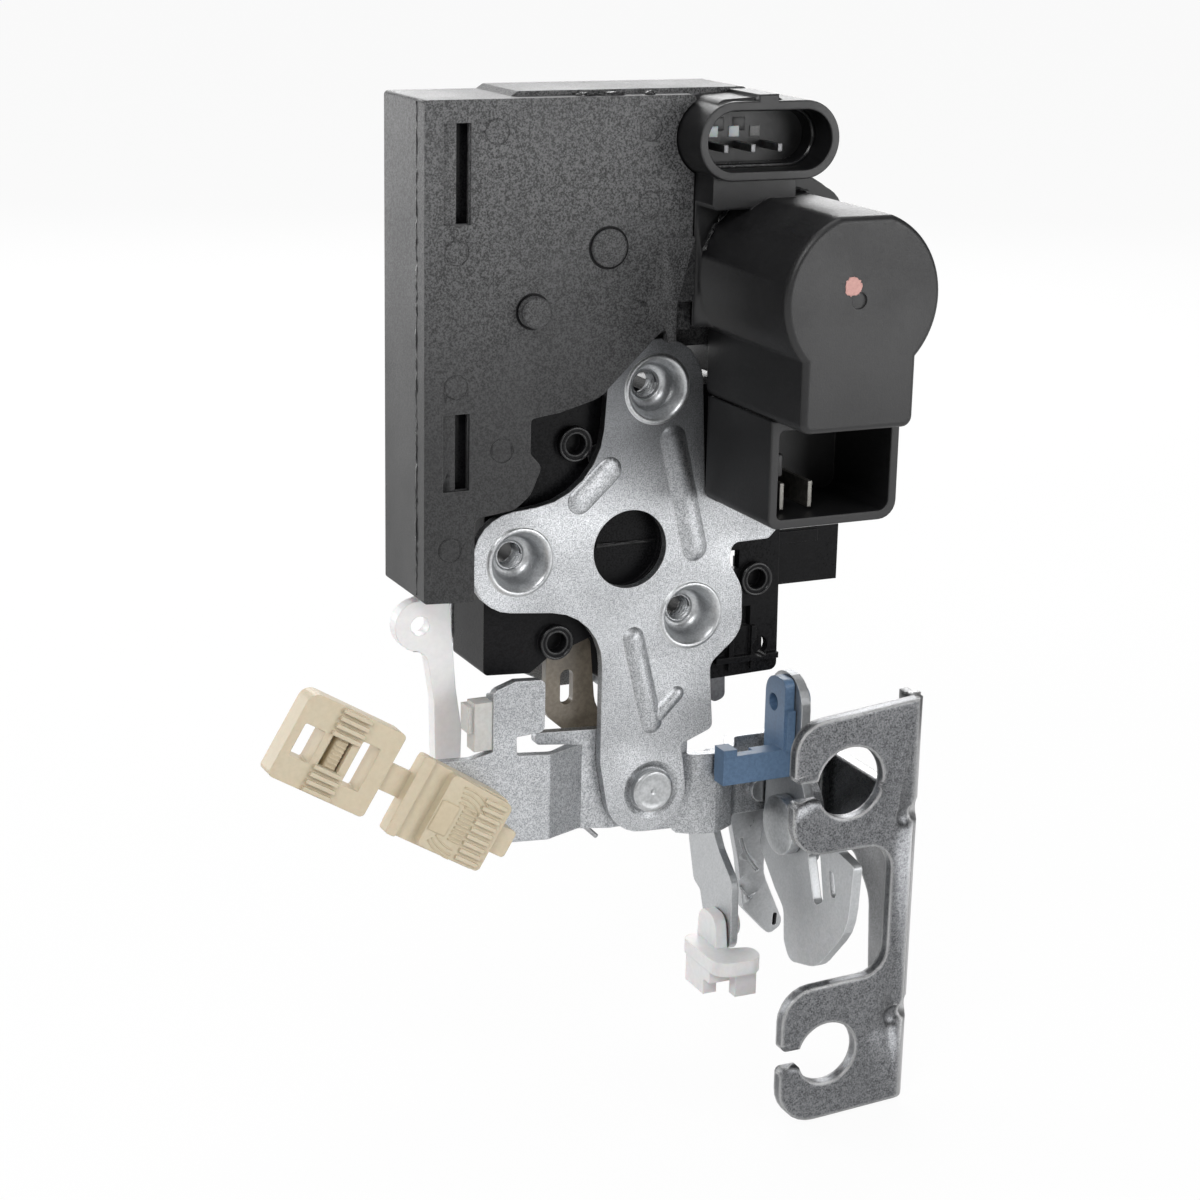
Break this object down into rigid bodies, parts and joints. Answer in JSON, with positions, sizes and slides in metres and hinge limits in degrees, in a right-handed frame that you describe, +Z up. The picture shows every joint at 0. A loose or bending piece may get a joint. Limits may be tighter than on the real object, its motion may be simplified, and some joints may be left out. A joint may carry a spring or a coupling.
{
  "type": "car door lock",
  "caption": "Car door latch with a star-shaped screw plate, electric lock actuator, rod clips, release levers and a cable bracket.",
  "frame": {"origin": "middle of the back plate's central hole, on the plate's front face", "axes": "+X right along the front face, +Y from the front face towards the door's shut face, +Z up"},
  "size_m": [0.1301, 0.06, 0.2035],
  "materials": {
    "zinc": "bright galvanised with a fine speckle",
    "steel": "bright zinc plated, satin",
    "dark_steel": "hardened, oiled",
    "black_plastic": "fine spark-grained black plastic",
    "black_rubber": "matt",
    "gear_plastic": "natural acetal, satin",
    "clear_white": "translucent white nylon",
    "cream": "cream nylon, slightly translucent",
    "tan": "tan plastic, satin",
    "blue": "dull blue plastic",
    "white": "white plastic, satin",
    "brass": "bare brass",
    "tin": "tinned, dull"
  },
  "bodies": {
    "base": {"back_plate": "zinc", "frame_plate": "zinc", "latch_housing": "black_plastic", "lower_rivet": "steel", "fork_pin": "steel", "fork_spring": "dark_steel", "pawl_pin": "steel", "pawl_spring": "dark_steel", "bumper": "black_rubber", "case_tub": "black_plastic", "case_cover": "black_plastic", "motor_housing": "black_plastic", "motor": "steel", "motor_cap": "white", "gear_pins": "steel", "upper_terminals": "tin", "lower_terminals": "tin", "lever_spring": "dark_steel", "hook_pin": "steel", "lock_pin": "steel", "strip_pin": "steel", "cable_bracket": "zinc", "bracket_rivets": "steel"},
    "fork": {"fork_bolt": "dark_steel", "fork_cover": "black_plastic"},
    "pawl": {"pawl": "dark_steel", "pawl_lever": "dark_steel"},
    "outside": {"outside_lever": "zinc", "lever_bushing": "clear_white"},
    "rod_clip": {"rod_clip": "cream"},
    "link": {"lock_link": "tan"},
    "slider": {"slider": "gear_plastic", "lock_arm": "clear_white"},
    "second_gear": {"second_gear": "gear_plastic"},
    "first_gear": {"first_gear": "gear_plastic"},
    "motor_pinion": {"motor_pinion": "brass"},
    "hook": {"hook_lever": "steel"},
    "blue_clip": {"blue_clip": "blue"},
    "lock_lever": {"lock_lever": "steel"},
    "strip": {"strip_lever": "steel"},
    "white_clip": {"white_clip": "white"}
  },
  "joints": [
    {"name": "fork_turn", "type": "hinge", "parent": "base", "child": "fork", "pos_m": [-0.005, 0.0135, 0.018], "axis": [0, 1, 0], "range_deg": [-35, 0]},
    {"name": "pawl_turn", "type": "hinge", "parent": "base", "child": "pawl", "pos_m": [0.0216, 0.012, 0.0244], "axis": [0, 1, 0], "range_deg": [-9, 0]},
    {"name": "outside_pull", "type": "hinge", "parent": "base", "child": "outside", "pos_m": [0.0059, 0.0033, -0.05], "axis": [0, 1, 0], "range_deg": [0, 15], "stiffness_Nm_per_rad": 0.5, "springref_deg": -17.19},
    {"name": "rod_clip_swing", "type": "hinge", "parent": "outside", "child": "rod_clip", "pos_m": [-0.0408, -0.0023, -0.044], "axis": [0, 1, 0], "range_deg": [-10, 25]},
    {"name": "link_swing", "type": "hinge", "parent": "base", "child": "link", "pos_m": [0.0059, 0.0078, -0.05], "axis": [0, 1, 0], "range_deg": [-6, 6]},
    {"name": "lock_slide", "type": "slide", "parent": "base", "child": "slider", "axis": [0, 0, 1], "range_m": [-0.012, 0]},
    {"name": "second_gear_spin", "type": "hinge", "parent": "base", "child": "second_gear", "pos_m": [-0.01637, 0.006, 0.055], "axis": [0, 1, 0], "range_deg": [-80, 0]},
    {"name": "first_gear_spin", "type": "hinge", "parent": "base", "child": "first_gear", "pos_m": [0.00419, 0.008, 0.0593], "axis": [0, 1, 0], "range_deg": [0, 250]},
    {"name": "motor_spin", "type": "hinge", "parent": "base", "child": "motor_pinion", "pos_m": [0.0268, 0, 0.0529], "axis": [0, 1, 0], "range_deg": [-910, 0]},
    {"name": "hook_turn", "type": "hinge", "parent": "base", "child": "hook", "pos_m": [0.0372, -0.0026, -0.0606], "axis": [1, 0, 0], "range_deg": [0, 15]},
    {"name": "blue_clip_swing", "type": "hinge", "parent": "hook", "child": "blue_clip", "pos_m": [0.0372, 0.0016, -0.0355], "axis": [1, 0, 0], "range_deg": [-15, 0]},
    {"name": "lock_lever_turn", "type": "hinge", "parent": "base", "child": "lock_lever", "pos_m": [0.036, 0.0144, -0.057], "axis": [0, 1, 0], "range_deg": [-8, 8]},
    {"name": "strip_turn", "type": "hinge", "parent": "base", "child": "strip", "pos_m": [0.0248, 0.0135, -0.056], "axis": [1, 0, 0], "range_deg": [-8, 12]},
    {"name": "white_clip_swing", "type": "hinge", "parent": "strip", "child": "white_clip", "pos_m": [0.0248, 0.0032, -0.083], "axis": [1, 0, 0], "range_deg": [-15, 15]}
  ],
  "couplings": [
    {"joint": "pawl_turn", "follows": "outside_pull", "ratio": -0.6},
    {"joint": "second_gear_spin", "follows": "lock_slide", "rad_per_m": 111.11},
    {"joint": "first_gear_spin", "follows": "lock_slide", "rad_per_m": -355.56},
    {"joint": "motor_spin", "follows": "lock_slide", "rad_per_m": 1315.6}
  ]
}
